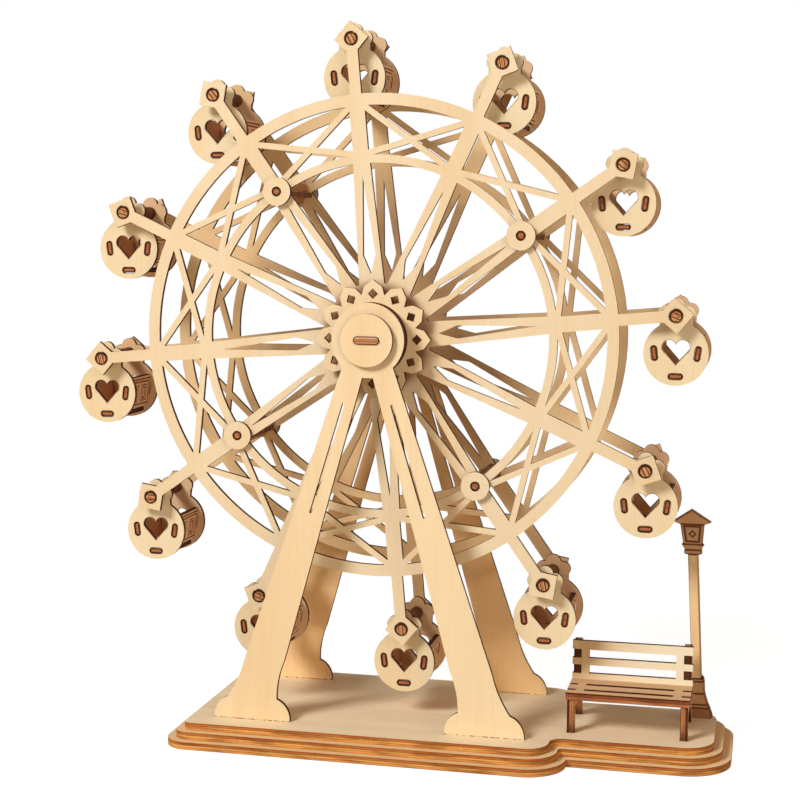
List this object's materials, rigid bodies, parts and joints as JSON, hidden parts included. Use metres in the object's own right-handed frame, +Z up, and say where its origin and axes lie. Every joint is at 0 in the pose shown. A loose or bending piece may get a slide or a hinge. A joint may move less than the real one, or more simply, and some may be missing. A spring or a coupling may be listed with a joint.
{
  "type": "hand-cranked ferris wheel model",
  "caption": "Hand-cranked ferris wheel model in laser-cut plywood: a spoked wheel with hanging gondolas turns between two A-frames on a stepped base with bench and lamp.",
  "frame": {"origin": "on the underside of the base, directly below the wheel's axle and midway between the A-frames", "axes": "+X along the base towards the bench and lamp, +Y towards the crank, +Z up"},
  "size_m": [0.2728, 0.1042, 0.2885],
  "materials": {
    "base_plywood": "raw laser-cut plywood",
    "frame_plywood": "raw laser-cut plywood",
    "wheel_plywood": "raw laser-cut plywood",
    "hub_plywood": "raw laser-cut plywood",
    "gondola_plywood": "raw laser-cut plywood",
    "crank_plywood": "raw laser-cut plywood",
    "bench_plywood": "raw laser-cut plywood",
    "lamp_plywood": "raw laser-cut plywood"
  },
  "bodies": {
    "stand": {"base_deck": "base_plywood", "base_middle_layer": "base_plywood", "base_bottom_layer": "base_plywood", "front_a_frame": "frame_plywood", "rear_a_frame": "frame_plywood", "bearing_rings": "frame_plywood", "bench_seat": "bench_plywood", "bench_back": "bench_plywood", "bench_frames": "bench_plywood", "lamp_core": "lamp_plywood", "lamp_faces": "lamp_plywood"},
    "wheel": {"front_wheel_frame": "wheel_plywood", "rear_wheel_frame": "wheel_plywood", "front_flower": "hub_plywood", "rear_flower": "hub_plywood", "axle": "hub_plywood", "hub_bushes": "hub_plywood", "hub_caps": "hub_plywood", "hub_discs": "hub_plywood", "spacer_strips": "wheel_plywood", "spacer_washers": "wheel_plywood", "crank_arm": "crank_plywood", "crank_pin": "crank_plywood"},
    "crank_knob": {"crank_knob": "crank_plywood"},
    "gondola_01": {"gondola_01_end_plates": "gondola_plywood", "gondola_01_walls_and_floor": "gondola_plywood", "gondola_01_pin": "gondola_plywood"},
    "gondola_02": {"gondola_02_end_plates": "gondola_plywood", "gondola_02_walls_and_floor": "gondola_plywood", "gondola_02_pin": "gondola_plywood"},
    "gondola_03": {"gondola_03_end_plates": "gondola_plywood", "gondola_03_walls_and_floor": "gondola_plywood", "gondola_03_pin": "gondola_plywood"},
    "gondola_04": {"gondola_04_end_plates": "gondola_plywood", "gondola_04_walls_and_floor": "gondola_plywood", "gondola_04_pin": "gondola_plywood"},
    "gondola_05": {"gondola_05_end_plates": "gondola_plywood", "gondola_05_walls_and_floor": "gondola_plywood", "gondola_05_pin": "gondola_plywood"},
    "gondola_06": {"gondola_06_end_plates": "gondola_plywood", "gondola_06_walls_and_floor": "gondola_plywood", "gondola_06_pin": "gondola_plywood"},
    "gondola_07": {"gondola_07_end_plates": "gondola_plywood", "gondola_07_walls_and_floor": "gondola_plywood", "gondola_07_pin": "gondola_plywood"},
    "gondola_08": {"gondola_08_end_plates": "gondola_plywood", "gondola_08_walls_and_floor": "gondola_plywood", "gondola_08_pin": "gondola_plywood"},
    "gondola_09": {"gondola_09_end_plates": "gondola_plywood", "gondola_09_walls_and_floor": "gondola_plywood", "gondola_09_pin": "gondola_plywood"},
    "gondola_10": {"gondola_10_end_plates": "gondola_plywood", "gondola_10_walls_and_floor": "gondola_plywood", "gondola_10_pin": "gondola_plywood"},
    "gondola_11": {"gondola_11_end_plates": "gondola_plywood", "gondola_11_walls_and_floor": "gondola_plywood", "gondola_11_pin": "gondola_plywood"},
    "gondola_12": {"gondola_12_end_plates": "gondola_plywood", "gondola_12_walls_and_floor": "gondola_plywood", "gondola_12_pin": "gondola_plywood"}
  },
  "joints": [
    {"name": "wheel_spin", "type": "hinge", "parent": "stand", "child": "wheel", "pos_m": [0, 0, 0.1641], "axis": [0, 1, 0], "continuous": true},
    {"name": "crank_knob_spin", "type": "hinge", "parent": "wheel", "child": "crank_knob", "pos_m": [-0.027, 0.0456, 0.1641], "axis": [0, 1, 0], "continuous": true},
    {"name": "gondola_01_swing", "type": "hinge", "parent": "wheel", "child": "gondola_01", "pos_m": [-0.0109, 0, 0.2816], "axis": [0, 1, 0], "continuous": true},
    {"name": "gondola_02_swing", "type": "hinge", "parent": "wheel", "child": "gondola_02", "pos_m": [0.04931, 0, 0.2713], "axis": [0, 1, 0], "continuous": true},
    {"name": "gondola_03_swing", "type": "hinge", "parent": "wheel", "child": "gondola_03", "pos_m": [0.0963, 0, 0.23229], "axis": [0, 1, 0], "continuous": true},
    {"name": "gondola_04_swing", "type": "hinge", "parent": "wheel", "child": "gondola_04", "pos_m": [0.1175, 0, 0.175], "axis": [0, 1, 0], "continuous": true},
    {"name": "gondola_05_swing", "type": "hinge", "parent": "wheel", "child": "gondola_05", "pos_m": [0.1072, 0, 0.11479], "axis": [0, 1, 0], "continuous": true},
    {"name": "gondola_06_swing", "type": "hinge", "parent": "wheel", "child": "gondola_06", "pos_m": [0.06819, 0, 0.0678], "axis": [0, 1, 0], "continuous": true},
    {"name": "gondola_07_swing", "type": "hinge", "parent": "wheel", "child": "gondola_07", "pos_m": [0.0109, 0, 0.0466], "axis": [0, 1, 0], "continuous": true},
    {"name": "gondola_08_swing", "type": "hinge", "parent": "wheel", "child": "gondola_08", "pos_m": [-0.04931, 0, 0.0569], "axis": [0, 1, 0], "continuous": true},
    {"name": "gondola_09_swing", "type": "hinge", "parent": "wheel", "child": "gondola_09", "pos_m": [-0.0963, 0, 0.09591], "axis": [0, 1, 0], "continuous": true},
    {"name": "gondola_10_swing", "type": "hinge", "parent": "wheel", "child": "gondola_10", "pos_m": [-0.1175, 0, 0.1532], "axis": [0, 1, 0], "continuous": true},
    {"name": "gondola_11_swing", "type": "hinge", "parent": "wheel", "child": "gondola_11", "pos_m": [-0.1072, 0, 0.21341], "axis": [0, 1, 0], "continuous": true},
    {"name": "gondola_12_swing", "type": "hinge", "parent": "wheel", "child": "gondola_12", "pos_m": [-0.06819, 0, 0.2604], "axis": [0, 1, 0], "continuous": true}
  ],
  "couplings": [
    {"joint": "gondola_01_swing", "follows": "wheel_spin", "ratio": -1},
    {"joint": "gondola_02_swing", "follows": "wheel_spin", "ratio": -1},
    {"joint": "gondola_03_swing", "follows": "wheel_spin", "ratio": -1},
    {"joint": "gondola_04_swing", "follows": "wheel_spin", "ratio": -1},
    {"joint": "gondola_05_swing", "follows": "wheel_spin", "ratio": -1},
    {"joint": "gondola_06_swing", "follows": "wheel_spin", "ratio": -1},
    {"joint": "gondola_07_swing", "follows": "wheel_spin", "ratio": -1},
    {"joint": "gondola_08_swing", "follows": "wheel_spin", "ratio": -1},
    {"joint": "gondola_09_swing", "follows": "wheel_spin", "ratio": -1},
    {"joint": "gondola_10_swing", "follows": "wheel_spin", "ratio": -1},
    {"joint": "gondola_11_swing", "follows": "wheel_spin", "ratio": -1},
    {"joint": "gondola_12_swing", "follows": "wheel_spin", "ratio": -1}
  ]
}
